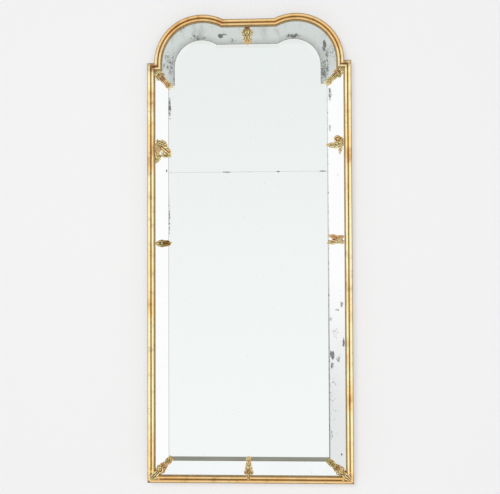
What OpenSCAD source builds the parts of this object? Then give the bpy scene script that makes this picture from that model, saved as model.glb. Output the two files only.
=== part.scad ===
// Pier mirror with a bordered glass: a gilt moulding on a pine rim, a bevelled
// centre glass in two plates, ten border slips and a carved clasp over each joint.
// X is to the right, Z is up and the front faces -Y. The origin is the wall nail
// that the mirror hangs from, in the plane of the wall.

/* [Overall size] */
// Width over the gilt moulding
mirror_w = 700; // [640:10:860]
// Height from the bottom edge to the top of the two arches
mirror_h = 1600; // [1300:10:2000]

/* [Crest] */
// Step inwards from the straight sides to the arches
shoulder_step = 24; // [15:1:40]
// Outer radius of each arch
arch_r = 165; // [130:1:180]
// Drop from the top of the arches to the flat between them
crest_dip = 17; // [8:1:25]

/* [Gilt moulding] */
// Narrow flat outside the outer bead
side_step = 0.8; // [0.5:0.1:2]
// Radius of the outer bead
outer_bead_r = 5.3; // [4:0.1:7]
// Height of the outer bead's centre over the groove floor
outer_bead_lift = 1.2; // [0.5:0.1:3]
// Width of the groove between the beads
groove_w = 2.4; // [1:0.1:5]
// Radius of the inner bead
inner_bead_r = 4.4; // [3:0.1:6]
// Width of the dark slope beside the glass
sight_w = 4.4; // [3:0.1:8]
// Height of the groove floor over the rim
moulding_base = 6; // [5.5:0.1:8]
// Thickness of the lip at the glass
lip_t = 2.4; // [1.5:0.1:3.5]
// Rise of the slope beside the glass
lip_rise = 1.8; // [0.5:0.1:2]

/* [Pine rim and back] */
// Set-back of the rim behind the moulding's outer edge
rim_set = 1.5; // [0.5:0.1:3]
// Width of the ledge that carries the back boards
ledge_w = 14; // [10:1:24]
// Depth of the recess behind the back boards
recess_d = 22; // [21:0.5:30]
// Thickness of the back boards
board_t = 10; // [8:0.5:14]
// Gap between neighbouring back boards
board_gap = 1; // [0.5:0.1:2]
// Width of the centre board
centre_board_w = 220; // [160:5:260]
// Length of the lap between a stile and the crest rail
lap_l = 60; // [45:1:90]
// Thickness of a batten
batten_t = 8; // [6:0.5:10]
// Gap at the ends of a batten
batten_play = 0.5; // [0.2:0.1:1]
// Height of the middle and lower battens
batten_h = 50; // [40:1:70]
// Height of the lower batten's middle above the bottom edge
lower_batten_up = 150; // [110:5:220]
// Height of the upper batten's edges beyond the hanger plate
batten_margin = 4; // [3:0.5:10]
// Half the spacing of the pair of nails that holds a board to a batten
nail_pair_x = 30; // [20:1:40]
// Rise from a batten's middle to the higher nail of the pair
nail_pair_z = 12; // [8:1:16]
// Leg of a glue block's triangle
block_leg = 12; // [8:1:16]
// Length of a glue block
block_l = 45; // [30:1:60]
// Radius of the pegs in the laps
peg_r = 3; // [2:0.25:4]
// Distance from a peg to the end of its lap
peg_in = 9; // [7:0.5:14]
// Radius of the nails in the battens and boards
nail_r = 1.2; // [1:0.1:1.6]
// Radius of a nail's head
nail_head_r = 3; // [2.5:0.1:4]
// Thickness of a nail's head
nail_head_t = 1.2; // [0.8:0.1:1.6]

/* [Border glass] */
// Thickness of the border slips
slip_t = 3.5; // [3:0.1:5]
// Lap of the moulding over the slips
lip_lap = 5; // [4:0.1:8]
// Play between the slips and the rim
glass_play = 1; // [0.5:0.1:2]
// Gap between the slips and the moulding's lip
lip_play = 0.3; // [0.2:0.05:0.6]
// Gap between neighbouring slips, under the clasps
joint_gap = 2; // [2:0.1:3]
// Gap between the slips and the centre glass
butt_gap = 0.8; // [0.4:0.1:1.5]

/* [Centre glass] */
// Border at the sides, from the outer edge to the centre glass
border_side = 78; // [70:1:95]
// Border at the bottom
border_bottom = 75; // [68:1:95]
// Border below the shoulders
border_shoulder = 78; // [70:1:95]
// Border over the arches
border_top = 87; // [80:1:105]
// Step inwards at the centre glass's shoulders
plate_step = 21; // [12:1:35]
// Radius of the centre glass's arches
plate_arch_r = 93; // [75:1:110]
// Drop from the centre glass's arches to the flat between them
plate_dip = 16; // [8:1:25]
// Sideways shift of the centre glass in the border
plate_shift = -5; // [-6:0.5:6]
// Thickness of the centre plates
plate_t = 4.5; // [4:0.1:6]
// Thickness left at the bevelled edge
bevel_edge = 2.5; // [2:0.1:3]
// Width of the bevel
bevel_w = 14; // [8:0.5:20]
// Drop from the outer shoulders to the seam of the two plates
seam_drop = 378; // [250:1:450]
// Gap at the seam
seam_gap = 0.4; // [0.3:0.1:1.5]

/* [Places of the side clasps] */
// Drop from the outer shoulders to the upper joint on the left
upper_left_drop = 303; // [250:1:360]
// Drop from the outer shoulders to the upper joint on the right
upper_right_drop = 291; // [250:1:360]
// Drop from the outer shoulders to the middle joint on the left
middle_left_drop = 621; // [540:1:680]
// Drop from the outer shoulders to the middle joint on the right
middle_right_drop = 615; // [540:1:680]

/* [Gilt clasps] */
// Least lap of a clasp over the centre glass
clasp_lap = 3; // [2:0.5:5]
// Length of a corner or shoulder clasp
spray_l = 83; // [79:1:88]
// Length of the left middle clasp
bud_l = 57; // [52:1:62]
// Lap of the bottom clasp over the centre glass
bottom_clasp_lap = 17; // [12:0.5:20]
// Clearance under a clasp where it passes over moulding and bevel
clasp_play = 0.3; // [0.2:0.05:0.6]
// Radius of a clasp pin
pin_r = 0.9; // [0.7:0.05:0.95]
// Radius of a clasp pin's head
pin_head_r = 2; // [1.6:0.1:2.4]
// Height of the seat of a pin's head over the slips
pin_seat = 4.5; // [3.5:0.1:5]
// Clearance round a pin or a nail
pin_play = 0.1; // [0.05:0.01:0.15]

/* [Hanger] */
// Drop from the flat of the crest to the wall nail
nail_drop = 73; // [68:1:110]
// Radius of the wall nail
wall_nail_r = 2.5; // [2:0.1:3.5]
// Radius of the ring, to the middle of its wire
ring_r = 18; // [15:0.5:22]
// Radius of the ring's wire
wire_r = 2; // [1.6:0.1:2.2]
// Clearance between the wire and its eye
eye_play = 0.8; // [0.6:0.05:1]
// Iron left round the eye
eye_wall = 1.9; // [1.5:0.1:2.2]
// Width of the eye along its axis
eye_w = 7; // [5:0.5:8]
// Distance from the hanger plate's back face to the eye's axis
eye_off = 5.5; // [5.2:0.1:6.5]
// Width of the hanger plate
hanger_w = 28; // [24:1:36]
// Height of the hanger plate
hanger_h = 58; // [50:1:70]
// Thickness of the hanger plate
hanger_t = 2; // [1.5:0.1:2.5]
// Distance from the hanger's nails to the edges of its plate
hanger_nail_in = 6; // [5:0.5:8]
// Spacing of the two rows of hanger nails
hanger_nail_rise = 18; // [14:1:24]
// Radius of a hanger nail's countersunk head
hanger_head_r = 2.9; // [2.5:0.1:3.4]
// Depth of that head
hanger_head_t = 1.4; // [1:0.1:1.5]

/* [Hidden] */

$fn = 96;

// Colours, as they show
gilt = [0.86, 0.69, 0.38];
silvered = [0.90, 0.92, 0.91];
pine = [0.66, 0.50, 0.33];
iron = [0.24, 0.22, 0.21];

// Heights, measured from the wall nail
half_w = mirror_w / 2;
flat_z = nail_drop;
top_z = flat_z + crest_dip;
foot_z = top_z - mirror_h;
shoulder_z = top_z - arch_r;
arch_side = half_w - shoulder_step;
arch_x = arch_side - arch_r;

// Insets from the outer edge
moulding_w = side_step + 2 * outer_bead_r + groove_w + 2 * inner_bead_r + sight_w;
glass_in = moulding_w - lip_lap;
rebate_in = glass_in - glass_play;
ledge_in = rebate_in + ledge_w;
rim_w = rebate_in - rim_set;

// Depths ahead of the wall
board_front = recess_d + board_t;
slip_front = board_front + slip_t;
rim_d = slip_front + lip_play;
plate_front = board_front + plate_t;
batten_back = recess_d - batten_t;

// Centre glass
plate_half = half_w - border_side;
plate_foot = foot_z + border_bottom;
plate_shoulder = shoulder_z - border_shoulder;
plate_arch_side = plate_half - plate_step;
plate_arch_x = plate_arch_side - plate_arch_r;
plate_top = top_z - border_top;
plate_spring = plate_top - plate_arch_r;
plate_flat = plate_top - plate_dip;
seam_z = shoulder_z - seam_drop;

// Hanger
eye_z = wall_nail_r + wire_r - 2 * ring_r;
eye_r = wire_r + eye_play;
eye_y = -(batten_back - hanger_t - eye_off);
hanger_top = eye_z + eye_r + eye_wall;
hanger_nail_x = hanger_w / 2 - hanger_nail_in;
hanger_nail_z = hanger_top - hanger_h + hanger_nail_in + 2;

// Battens: [middle height, height]
upper_batten_h = hanger_h + 3 * batten_margin;
upper_batten_z = hanger_top + batten_margin - upper_batten_h / 2;
lower_batten_z = foot_z + lower_batten_up;
middle_batten_z = (upper_batten_z + lower_batten_z) / 2;

// Long enough to pass right through any piece in depth
through = 80;

// A point beyond a or short of it, on the line from b through a
function past(a, b, d) = a + (a - b) * d / norm(a - b);
function angle_of(a, b) = atan2(b[1] - a[1], b[0] - a[0]);

// ---- joints of the border: each is [end at the moulding, end at the centre glass]
function side_x(s) = s * (half_w - moulding_w);
function plate_x(s) = plate_shift + s * plate_half;
function level_joint(s, z) = [[side_x(s), z], [plate_x(s), z]];
function shoulder_joint(s) = [[side_x(s), shoulder_z - moulding_w], [plate_x(s), plate_shoulder]];
function corner_joint(s) = [[side_x(s), foot_z + moulding_w], [plate_x(s), plate_foot]];
top_joint = [[plate_shift, flat_z - moulding_w], [plate_shift, plate_flat]];
bottom_joint = [[plate_shift, foot_z + moulding_w], [plate_shift, plate_foot]];
upper_left_joint = level_joint(-1, shoulder_z - upper_left_drop);
upper_right_joint = level_joint(1, shoulder_z - upper_right_drop);
middle_left_joint = level_joint(-1, shoulder_z - middle_left_drop);
middle_right_joint = level_joint(1, shoulder_z - middle_right_drop);

// Each clasp's joint and how far along it the pin stands
pins = [
    [top_joint, 17], [bottom_joint, 22],
    [shoulder_joint(-1), 24], [shoulder_joint(1), 24],
    [upper_left_joint, 30], [upper_right_joint, 27],
    [middle_left_joint, 22], [middle_right_joint, 22],
    [corner_joint(-1), 24], [corner_joint(1), 24]
];

// ---- outlines, drawn in X and Z ----

module box2(x0, z0, x1, z1) {
    translate([x0, z0]) square([x1 - x0, z1 - z0]);
}

// Stands a drawing up in front of the wall, between two depths
module sheet(back, front) {
    translate([0, -back, 0])
        rotate([90, 0, 0])
            linear_extrude(front - back) children();
}

// The mirror's outline, set in by d
module outline(d) {
    box2(d - half_w, foot_z + d, half_w - d, shoulder_z - d);
    box2(d - arch_side, shoulder_z - arch_r, arch_side - d, shoulder_z);
    box2(-arch_x, shoulder_z - arch_r, arch_x, flat_z - d);
    for (s = [-1, 1])
        intersection() {
            translate([s * arch_x, shoulder_z]) circle(arch_r - d);
            box2(-half_w, shoulder_z, half_w, top_z + 10);
        }
}

// The centre glass's outline, grown by e
module plate_outline(e) {
    translate([plate_shift, 0]) {
        box2(-plate_half - e, plate_foot - e, plate_half + e, plate_shoulder + e);
        box2(-plate_arch_side - e, plate_foot, plate_arch_side + e, plate_spring);
        box2(-plate_arch_x, plate_foot, plate_arch_x, plate_flat + e);
        for (s = [-1, 1])
            intersection() {
                translate([s * plate_arch_x, plate_spring]) circle(plate_arch_r + e);
                box2(-half_w, plate_spring, half_w, top_z);
            }
    }
}

// ---- pine rim ----

// Peg places in the laps: [x, z] on the right-hand side
peg_x = half_w - rim_set - rim_w / 2;
lap_z = shoulder_z - rim_set - lap_l;
peg_places = [
    [peg_x, foot_z + rim_set + peg_in], [peg_x, foot_z + ledge_in - peg_in],
    [peg_x, lap_z + 1.5 * peg_in], [peg_x, shoulder_z - rim_set - 1.5 * peg_in]
];

module pegs(r) {
    for (s = [-1, 1], p = peg_places)
        translate([s * p[0], 0, p[1]]) rotate([90, 0, 0]) cylinder(rim_d, r = r);
}

// One bore through everything at [x, z]
module bore_at(p, r) {
    translate([p[0], 1, p[1]]) rotate([90, 0, 0]) cylinder(through, r = r);
}

module peg_bores() {
    for (s = [-1, 1], p = peg_places) bore_at([s * p[0], p[1]], peg_r);
}

module stile(s) {
    color(pine)
        difference() {
            union() {
                sheet(0, recess_d) mirror([s < 0 ? 1 : 0, 0])
                    box2(half_w - ledge_in, foot_z + ledge_in, half_w - rim_set, lap_z);
                sheet(recess_d, rim_d) mirror([s < 0 ? 1 : 0, 0])
                    box2(half_w - rebate_in, foot_z + rim_set, half_w - rim_set,
                         shoulder_z - rim_set);
            }
            peg_bores();
            ledge_nail_bores();
        }
}

module left_stile() { stile(-1); }
module right_stile() { stile(1); }

module bottom_rail() {
    color(pine)
        difference() {
            union() {
                sheet(0, recess_d)
                    box2(rim_set - half_w, foot_z + rim_set, half_w - rim_set, foot_z + ledge_in);
                sheet(recess_d, rim_d)
                    box2(rebate_in - half_w, foot_z + rim_set,
                         half_w - rebate_in, foot_z + rebate_in);
            }
            peg_bores();
            ledge_nail_bores();
        }
}

// Sawn to the arches, with cheeks that lap behind the tops of the stiles
module crest_rail() {
    color(pine)
        difference() {
            union() {
                sheet(0, recess_d)
                    difference() {
                        outline(rim_set);
                        outline(ledge_in);
                        box2(-half_w, foot_z, half_w, lap_z);
                    }
                sheet(recess_d, rim_d)
                    difference() {
                        outline(rim_set);
                        outline(rebate_in);
                        box2(-half_w, foot_z, half_w, shoulder_z - arch_r);
                        for (s = [-1, 1])
                            box2(min(s * (half_w - rebate_in), s * half_w), foot_z,
                                 max(s * (half_w - rebate_in), s * half_w), shoulder_z);
                    }
            }
            peg_bores();
            ledge_nail_bores();
        }
}

module joint_pegs() {
    color(pine) pegs(peg_r);
}

// ---- back boards and battens ----

board_x = centre_board_w / 2;

module board(x0, x1) {
    color(pine)
        difference() {
            sheet(recess_d, board_front)
                intersection() {
                    outline(glass_in);
                    box2(x0, foot_z, x1, top_z);
                }
            pin_bores();
            batten_nail_bores();
            ledge_nail_bores();
            hanger_nail_bores();
        }
}

module left_board() { board(-half_w, -board_x - board_gap / 2); }
module centre_board() { board(-board_x + board_gap / 2, board_x - board_gap / 2); }
module right_board() { board(board_x + board_gap / 2, half_w); }

module batten(z, h) {
    color(pine)
        difference() {
            sheet(batten_back, recess_d)
                intersection() {
                    outline(ledge_in + batten_play);
                    box2(-half_w, z - h / 2, half_w, z + h / 2);
                }
            batten_nail_bores();
            hanger_nail_bores();
        }
}

module upper_batten() { batten(upper_batten_z, upper_batten_h); }
module middle_batten() { batten(middle_batten_z, batten_h); }
module lower_batten() { batten(lower_batten_z, batten_h); }

// Triangular blocks glued in the corner between the boards and the rim
block_rows = [
    for (k = [0.25, 0.75]) lower_batten_z + k * (middle_batten_z - lower_batten_z),
    for (k = [0.25, 0.75]) middle_batten_z + k * (upper_batten_z - middle_batten_z)
];

module glue_block() {
    translate([0, -recess_d, 0]) linear_extrude(block_l, center = true)
        polygon([[0, 0], [-block_leg, 0], [0, block_leg]]);
}

module glue_blocks() {
    color(pine) {
        for (z = block_rows) {
            translate([half_w - ledge_in, 0, z]) glue_block();
            mirror([1, 0, 0]) translate([half_w - ledge_in, 0, z]) glue_block();
        }
        for (x = [-half_w / 2, 0, half_w / 2])
            translate([x, 0, foot_z + ledge_in]) rotate([0, 90, 0]) glue_block();
    }
}

// Two nails through each batten into each board: [x, z]
nail_columns = [-0.5 * (half_w - ledge_in + board_x), 0, 0.5 * (half_w - ledge_in + board_x)];
batten_nail_places = [
    for (z = [upper_batten_z, middle_batten_z, lower_batten_z], x = nail_columns, s = [-1, 1])
        [x + s * nail_pair_x, z + s * nail_pair_z]
];
nail_l = batten_t + board_t - 3;

module batten_nails() {
    color(iron)
        for (p = batten_nail_places)
            translate([p[0], -batten_back, p[1]]) rotate([90, 0, 0]) {
                cylinder(nail_l, r = nail_r);
                translate([0, 0, -nail_head_t]) cylinder(nail_head_t, r = nail_head_r);
            }
}

// Stops short of the glass side of the boards
module batten_nail_bores() {
    for (p = batten_nail_places)
        translate([p[0], -batten_back + 1, p[1]]) rotate([90, 0, 0])
            cylinder(nail_l + 2, r = nail_r + pin_play);
}

// Nails from the front through the boards into the ledges: [x, z]
ledge_nail_in = rebate_in + ledge_w / 2;
ledge_nail_z0 = foot_z + ledge_in + 60;
ledge_nail_z1 = lap_z - 40;
ledge_nail_places = [
    for (s = [-1, 1], k = [0:4])
        [s * (half_w - ledge_nail_in), ledge_nail_z0 + k * (ledge_nail_z1 - ledge_nail_z0) / 4],
    for (x = [-half_w / 2, 0, half_w / 2]) [x * 0.9, foot_z + ledge_nail_in],
    for (s = [-1, 1]) [s * arch_x, top_z - ledge_nail_in],
    [0, flat_z - ledge_nail_in]
];
ledge_nail_l = board_t + recess_d - 8;

module ledge_nails() {
    color(iron)
        for (p = ledge_nail_places)
            translate([p[0], -board_front, p[1]]) rotate([-90, 0, 0]) {
                cylinder(ledge_nail_l, r = nail_r);
                cylinder(nail_head_t, r = nail_head_r);
            }
}

module ledge_nail_bores() {
    for (p = ledge_nail_places)
        translate([p[0], -board_front - 1, p[1]]) rotate([-90, 0, 0]) {
            cylinder(ledge_nail_l + 2, r = nail_r + pin_play);
            cylinder(nail_head_t + 1.1, r = nail_head_r + pin_play);
        }
}

// ---- glass ----

// Section of a plate with both long edges bevelled, run up from z0 to z1
module plate_run(half, z0, z1) {
    translate([0, -board_front, z0]) linear_extrude(z1 - z0)
        polygon([
            [-half, 0], [half, 0], [half, -bevel_edge], [half - bevel_w, -plate_t],
            [bevel_w - half, -plate_t], [-half, -bevel_edge]
        ]);
}

// Takes the bevel off a level edge at height z: up is 1 for a top edge, -1 for a bottom edge
module level_bevel(half, z, up) {
    translate([-half - 1, -board_front, z])
        rotate([90, 0, 90]) linear_extrude(2 * half + 2)
            polygon([
                [-bevel_edge, up], [-bevel_edge, 0], [-plate_t, -up * bevel_w],
                [-plate_t - 1, -up * bevel_w], [-plate_t - 1, up]
            ]);
}

module centre_lower_plate() {
    color(silvered)
        translate([plate_shift, 0, 0])
            difference() {
                plate_run(plate_half, plate_foot, seam_z - seam_gap / 2);
                level_bevel(plate_half, plate_foot, -1);
            }
}

module centre_upper_plate() {
    color(silvered)
        translate([plate_shift, 0, 0]) {
            difference() {
                plate_run(plate_half, seam_z + seam_gap / 2, plate_shoulder);
                level_bevel(plate_half, plate_shoulder, 1);
            }
            plate_run(plate_arch_side, plate_shoulder - 2 * bevel_w, plate_spring);
            difference() {
                sheet(board_front, plate_front)
                    box2(-plate_arch_x, plate_shoulder, plate_arch_x, plate_flat);
                level_bevel(plate_arch_x, plate_flat, 1);
            }
            for (s = [-1, 1])
                translate([s * plate_arch_x, -board_front, plate_spring])
                    rotate([90, 0, 0])
                        rotate_extrude(angle = 180)
                            polygon([
                                [0, 0], [plate_arch_r, 0], [plate_arch_r, bevel_edge],
                                [plate_arch_r - bevel_w, plate_t], [0, plate_t]
                            ]);
        }
}

// A strip as wide as the joint gap along a joint
module joint_strip(j) {
    translate(past(j[0], j[1], 20))
        rotate(angle_of(j[0], j[1]))
            translate([0, -joint_gap / 2])
                square([norm(j[0] - j[1]) + 25, joint_gap]);
}

// The border glass between two joints; corners closes the outline outside the glass
module slip(a, b, corners = []) {
    color(silvered)
        sheet(board_front, slip_front)
            difference() {
                intersection() {
                    outline(glass_in);
                    polygon(concat(
                        [past(a[0], a[1], 30), past(a[1], a[0], 10)],
                        [past(b[1], b[0], 10), past(b[0], b[1], 30)],
                        corners));
                }
                plate_outline(butt_gap);
                joint_strip(a);
                joint_strip(b);
            }
}

module top_slip(s) {
    slip(shoulder_joint(s), top_joint,
         [[s * half_w, top_z + 10], [s * (half_w + 20), shoulder_z]]);
}

module top_left_slip() { top_slip(-1); }
module top_right_slip() { top_slip(1); }
module upper_left_slip() { slip(shoulder_joint(-1), upper_left_joint); }
module upper_right_slip() { slip(shoulder_joint(1), upper_right_joint); }
module middle_left_slip() { slip(upper_left_joint, middle_left_joint); }
module middle_right_slip() { slip(upper_right_joint, middle_right_joint); }
module lower_left_slip() { slip(middle_left_joint, corner_joint(-1)); }
module lower_right_slip() { slip(middle_right_joint, corner_joint(1)); }
module bottom_left_slip() { slip(corner_joint(-1), bottom_joint); }
module bottom_right_slip() { slip(corner_joint(1), bottom_joint); }

// ---- gilt mouldings ----

// Section of the moulding: inset from the outer edge across, depth up. Grown by g, it
// also takes in the gap below the lip
module profile(g = 0) {
    step_u = moulding_w - sight_w + 0.8;
    low = g > 0 ? -lip_play - g : 0;
    translate([0, rim_d]) {
        polygon([
            [-g, low], [moulding_w + g, low], [moulding_w + g, lip_t + g],
            [step_u + g, lip_t + lip_rise + g], [step_u + g, moulding_base + g],
            [-g, moulding_base + g]
        ]);
        translate([side_step + outer_bead_r, moulding_base + outer_bead_lift])
            circle(outer_bead_r + g);
        translate([moulding_w - sight_w - inner_bead_r, moulding_base])
            circle(inner_bead_r + g);
    }
}

// A straight length from p in direction a, with the glass on its left
module run(p, a, l, g = 0) {
    translate([p[0], 0, p[1]])
        rotate([0, -a, 0])
            rotate([90, 0, 0])
                rotate([90, 0, 90])
                    linear_extrude(l) profile(g);
}

// Everything near the line from p to q that lies on its left, to cut a mitre
module left_of(p, q) {
    reach = 2 * moulding_w;
    translate([p[0], -through, p[1]])
        rotate([0, -angle_of(p, q), 0])
            translate([-reach, 0, 0]) cube([3 * reach, through, reach]);
}

// Mitre corners on the right-hand side, outside and inside
foot_out = [half_w, foot_z];
foot_in = foot_out + [-moulding_w, moulding_w];
turn_out = [half_w, shoulder_z];
turn_in = turn_out - [moulding_w, moulding_w];
neck_out = [arch_side, shoulder_z];
neck_in = neck_out - [moulding_w, moulding_w];
function flat_half(d) = arch_x - sqrt(pow(arch_r - d, 2) - pow(arch_r - crest_dip - d, 2));
crown_out = [flat_half(0), flat_z];
crown_in = [flat_half(moulding_w), flat_z - moulding_w];

module left_half(s) {
    mirror([s < 0 ? 1 : 0, 0, 0]) children();
}

module side_run(g = 0) { run(foot_out, 90, shoulder_z - foot_z, g); }
module bottom_run(g = 0) { run([-half_w, foot_z], 0, mirror_w, g); }
module crest_run(g = 0) { run([crown_in[0], flat_z], 180, 2 * crown_in[0], g); }
module shoulder_run(g = 0) { run(turn_out, 180, shoulder_step + moulding_w, g); }

module side_moulding() {
    color(gilt)
        difference() {
            side_run();
            left_of(foot_out, foot_in);
            left_of(turn_in, turn_out);
        }
}

module shoulder_moulding() {
    color(gilt)
        difference() {
            shoulder_run();
            left_of(turn_out, turn_in);
            left_of(neck_in, neck_out);
        }
}

module arch_moulding() {
    sweep = angle_of([arch_x, shoulder_z], crown_in) + 5;
    color(gilt)
        difference() {
            union() {
                run(neck_out - [0, moulding_w], 90, moulding_w);
                translate([arch_x, 0, shoulder_z])
                    rotate([90, 0, 0])
                        rotate_extrude(angle = sweep)
                            translate([arch_r, 0]) mirror([1, 0]) profile();
            }
            left_of(neck_out, neck_in);
            left_of(crown_in, crown_out);
        }
}

module left_moulding() { left_half(-1) side_moulding(); }
module right_moulding() { left_half(1) side_moulding(); }
module left_shoulder_moulding() { left_half(-1) shoulder_moulding(); }
module right_shoulder_moulding() { left_half(1) shoulder_moulding(); }
module left_arch_moulding() { left_half(-1) arch_moulding(); }
module right_arch_moulding() { left_half(1) arch_moulding(); }

module bottom_moulding() {
    color(gilt)
        difference() {
            bottom_run();
            left_of(foot_in, foot_out);
            left_half(-1) left_of(foot_in, foot_out);
        }
}

module crest_moulding() {
    color(gilt)
        difference() {
            crest_run();
            left_of(crown_out, crown_in);
            left_half(-1) left_of(crown_out, crown_in);
        }
}

// ---- gilt clasps ----
// Drawn with X along the joint from the moulding inwards, Y across it and Z off the glass

// Height of a leaf's tips, as a share of its crown
tip_share = 0.35;
function leaf_edge_r(l, w) = (l * l + w * w) / (4 * w);
function leaf_crown_r(l, h) = (l * l / 4 + pow(h * (1 - tip_share), 2)) / (2 * h * (1 - tip_share));

// A pointed leaf, crowned along its length
module leaf(l, w, h) {
    edge_r = leaf_edge_r(l, w);
    crown_r = leaf_crown_r(l, h);
    intersection() {
        translate([l / 2, edge_r - w / 2, 0]) cylinder(h, r = edge_r);
        translate([l / 2, w / 2 - edge_r, 0]) cylinder(h, r = edge_r);
        translate([l / 2, w, h - crown_r]) rotate([90, 0, 0]) cylinder(2 * w, r = crown_r);
    }
}

// The hollow down the middle of a leaf of the same size
module vein(l, w, h) {
    translate([l / 2, 0, h - leaf_crown_r(l, h)]) rotate([90, 0, 0])
        rotate_extrude() translate([leaf_crown_r(l, h) + 0.5, 0]) circle(w * 0.1);
}

// A volute seen from the front: a ring of stem and a ball on a disc
module volute(r, t) {
    cylinder(t * 0.8, r = r);
    translate([0, 0, t * 0.8]) {
        rotate_extrude() translate([r, 0]) circle(t);
        sphere(r * 0.42);
    }
}

// A ringed boss
module boss(r, h) {
    cylinder(h * 0.55, r = r);
    translate([0, 0, h * 0.55]) rotate_extrude() translate([r * 0.74, 0]) circle(r * 0.2);
    translate([0, 0, h * 0.55]) sphere(r * 0.4);
}

// Stands a clasp on the slips at a joint
module on_joint(j) {
    translate([j[0][0], -slip_front, j[0][1]])
        rotate([0, -angle_of(j[0], j[1]), 0])
            rotate([90, 0, 0]) children();
}

module pin_at(p, r, from, to) {
    on_joint(p[0]) translate([p[1], 0, from]) cylinder(to - from, r = r);
}

pin_depth = slip_t + board_t - 2;

module clasp_pins() {
    color(gilt)
        for (p = pins) {
            pin_at(p, pin_r, -pin_depth, pin_seat);
            pin_at(p, pin_head_r, pin_seat, pin_seat + 1.2);
        }
}

module pin_bores() {
    for (p = pins) pin_at(p, pin_r + pin_play, -pin_depth - 0.5, 1);
}

// A clasp lies flat on the slips, and keeps clear of its pin, of the moulding
// in children(1) and of the centre glass
module seated(i) {
    difference() {
        children(0);
        if ($children > 1) children(1);
        on_joint(pins[i][0]) translate([-30, -80, -10]) cube([160, 160, 10]);
        pin_at(pins[i], pin_r + pin_play, -1, pin_seat + 1);
        pin_at(pins[i], pin_head_r + pin_play, pin_seat, 20);
        sheet(board_front, plate_front + clasp_play) plate_outline(0);
    }
}

function joint_l(j) = norm(j[1] - j[0]);
function lapped(j, l) = max(l, joint_l(j) + clasp_lap);

// Bud of the left middle joint: a root leaf, an open pod with a seed in it, and a tip
module middle_left_clasp() {
    reach = lapped(middle_left_joint, bud_l);
    color(gilt) seated(6) {
        on_joint(middle_left_joint) {
            translate([0.6, 0, 0]) leaf(26, 20, 6);
            for (s = [-1, 1])
                translate([8, s * 5, 0]) rotate(s * 5) leaf(36, 14, 8);
            translate([12, 0, 0]) leaf(26, 8, 7.5);
            difference() {
                translate([30, 1, 0]) rotate(2) leaf(reach - 30, 16, 6.5);
                translate([30, 1, 0]) rotate(2) vein(reach - 30, 16, 6.5);
            }
        }
        left_half(-1) side_run(clasp_play);
    }
}

// Two leaves of the right middle joint, that grow out of a knot
module middle_right_clasp() {
    reach = lapped(middle_right_joint, 0);
    color(gilt) seated(7) {
        on_joint(middle_right_joint) mirror([0, 1, 0]) {
            translate([23, 5, 0]) boss(10, 8);
            translate([18, 7, 0]) rotate(10) leaf(reach - 20, 12, 7);
            translate([17, 0, 0]) rotate(-4) leaf(reach - 17, 13, 7.5);
            translate([0.6, 13, 0]) rotate(-13) leaf(27, 12, 6.5);
            translate([0.6, -7, 0]) rotate(14) leaf(27, 12, 6.5);
        }
        side_run(clasp_play);
    }
}

// Boss over a slanting leaf, with a scroll below them, all on a root along the moulding
module upper_left_clasp() {
    color(gilt) seated(4) {
        on_joint(upper_left_joint) {
            translate([27, 25, 0]) boss(13, 9);
            translate([7, -9, 0]) rotate(84) leaf(50, 13, 6.5);
            translate([2, 13, 0]) rotate(16) leaf(30, 13, 7);
            translate([0.6, -3, 0]) leaf(42, 13, 6.5);
            translate([20, 15, 0]) rotate(-41) leaf(49, 20, 8);
            translate([11.5, -17, 0]) volute(7.5, 2.4);
            translate([9, -11, 0]) rotate(-106) leaf(31, 11, 6);
            translate([14, -20, 0]) rotate(12) leaf(25, 9, 5.5);
        }
        left_half(-1) side_run(clasp_play);
    }
}

// Boss and ring over a level leaf, with a small leaf that hangs along the moulding
module upper_right_clasp() {
    reach = lapped(upper_right_joint, 0);
    color(gilt) seated(5) {
        on_joint(upper_right_joint) mirror([0, 1, 0]) {
            translate([19.5, 17, 0]) boss(13.5, 9);
            translate([7.5, 15, 0]) volute(5, 2);
            translate([14, -2, 0]) rotate(1) leaf(reach - 14, 18, 7.5);
            translate([0.6, 2, 0]) leaf(34, 13, 6.5);
            translate([6.5, 4, 0]) rotate(-86) leaf(34, 12, 6);
        }
        side_run(clasp_play);
    }
}

// Spray of the corners and shoulders: root leaves, an oval knot with two volutes,
// and a leaf with two tips
module spray(reach) {
    for (s = [-1, 1]) {
        translate([1, 0, 0]) rotate(s * 38) leaf(27, 10, 5.5);
        translate([28, s * 8, 0]) volute(6.5, 2.4);
        translate([46, 0, 0]) rotate(s * 9) leaf(reach - 46, 12, 6.5);
    }
    translate([2, 0, 0]) leaf(56, 21, 9.5);
}

module left_shoulder_clasp() {
    color(gilt) seated(2) {
        on_joint(shoulder_joint(-1)) spray(lapped(shoulder_joint(-1), spray_l));
        left_half(-1) {
            side_run(clasp_play);
            shoulder_run(clasp_play);
        }
    }
}

module right_shoulder_clasp() {
    color(gilt) seated(3) {
        on_joint(shoulder_joint(1)) spray(lapped(shoulder_joint(1), spray_l));
        union() {
            side_run(clasp_play);
            shoulder_run(clasp_play);
        }
    }
}

module left_corner_clasp() {
    color(gilt) seated(8) {
        on_joint(corner_joint(-1)) corner_spray(lapped(corner_joint(-1), spray_l));
        union() {
            left_half(-1) side_run(clasp_play);
            bottom_run(clasp_play);
        }
    }
}

module right_corner_clasp() {
    color(gilt) seated(9) {
        on_joint(corner_joint(1)) corner_spray(lapped(corner_joint(1), spray_l));
        union() {
            side_run(clasp_play);
            bottom_run(clasp_play);
        }
    }
}

// How far a root leaf reaches over the moulding, and its crown there
wrap_l = sight_w + 2 * inner_bead_r + groove_w;
wrap_h = lip_play + moulding_base + inner_bead_r + 6;

// The corners' spray has a broad leaf more, that wraps the moulding at the mitre
module corner_spray(reach) {
    spray(reach);
    translate([-wrap_l * sqrt(2), 0, 0]) leaf(2 * wrap_l * sqrt(2) + 2, 22, wrap_h);
}

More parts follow.
